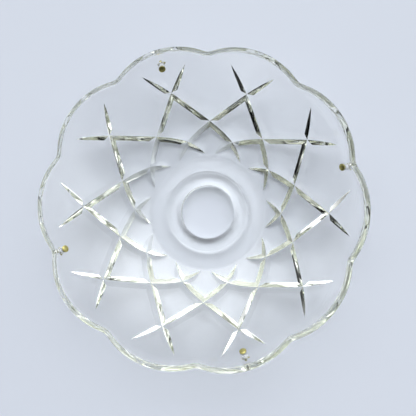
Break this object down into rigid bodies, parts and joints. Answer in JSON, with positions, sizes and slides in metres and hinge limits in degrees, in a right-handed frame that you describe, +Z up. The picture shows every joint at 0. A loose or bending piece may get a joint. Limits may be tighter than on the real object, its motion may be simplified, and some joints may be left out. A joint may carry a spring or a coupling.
{
  "type": "scalloped cut-glass dish",
  "caption": "Round scalloped cut-glass serving dish with an open collared centre hole and small brass pins with rings through its wall near the rim.",
  "frame": {"origin": "on the dish's axis in the plane of its foot", "axes": "+Z up along the dish's axis; +Y through the middle of a lobe and the back pin; +X through the right pin"},
  "size_m": [0.2926, 0.3, 0.0678],
  "materials": {
    "crystal": "clear polished cut glass with a faint green edge; foot and collar softly ground",
    "brass": "polished yellow brass, slightly toned",
    "clear_nylon": "milky clear nylon"
  },
  "bodies": {
    "dish": {"dish": "crystal", "pin_bush_back": "clear_nylon", "pin_washer_back": "clear_nylon", "pin_bush_left": "clear_nylon", "pin_washer_left": "clear_nylon", "pin_bush_front": "clear_nylon", "pin_washer_front": "clear_nylon", "pin_bush_right": "clear_nylon", "pin_washer_right": "clear_nylon"},
    "pin_back": {"rim_pin_back": "brass"},
    "ring_back": {"pin_ring_back": "brass"},
    "pin_left": {"rim_pin_left": "brass"},
    "ring_left": {"pin_ring_left": "brass"},
    "pin_front": {"rim_pin_front": "brass"},
    "ring_front": {"pin_ring_front": "brass"},
    "pin_right": {"rim_pin_right": "brass"},
    "ring_right": {"pin_ring_right": "brass"}
  },
  "joints": [
    {"name": "pin_spin_back", "type": "hinge", "parent": "dish", "child": "pin_back", "pos_m": [0, 0.13366, 0.05609], "axis": [0, 0.7296, -0.6839], "continuous": true},
    {"name": "ring_swing_back", "type": "hinge", "parent": "pin_back", "child": "ring_back", "pos_m": [0, 0.14206, 0.04822], "axis": [1, 0, 0], "range_deg": [-62, 156]},
    {"name": "pin_spin_left", "type": "hinge", "parent": "dish", "child": "pin_left", "pos_m": [-0.13166, 0, 0.05399], "axis": [-0.7179, 0, -0.6962], "continuous": true},
    {"name": "ring_swing_left", "type": "hinge", "parent": "pin_left", "child": "ring_left", "pos_m": [-0.13992, 0, 0.04598], "axis": [0, 1, 0], "range_deg": [-62, 156]},
    {"name": "pin_spin_front", "type": "hinge", "parent": "dish", "child": "pin_front", "pos_m": [0, -0.13366, 0.05609], "axis": [0, -0.7296, -0.6839], "continuous": true},
    {"name": "ring_swing_front", "type": "hinge", "parent": "pin_front", "child": "ring_front", "pos_m": [0, -0.14206, 0.04822], "axis": [-1, 0, 0], "range_deg": [-62, 156]},
    {"name": "pin_spin_right", "type": "hinge", "parent": "dish", "child": "pin_right", "pos_m": [0.13166, 0, 0.05399], "axis": [0.7179, 0, -0.6962], "continuous": true},
    {"name": "ring_swing_right", "type": "hinge", "parent": "pin_right", "child": "ring_right", "pos_m": [0.13992, 0, 0.04598], "axis": [0, -1, 0], "range_deg": [-62, 156]}
  ]
}
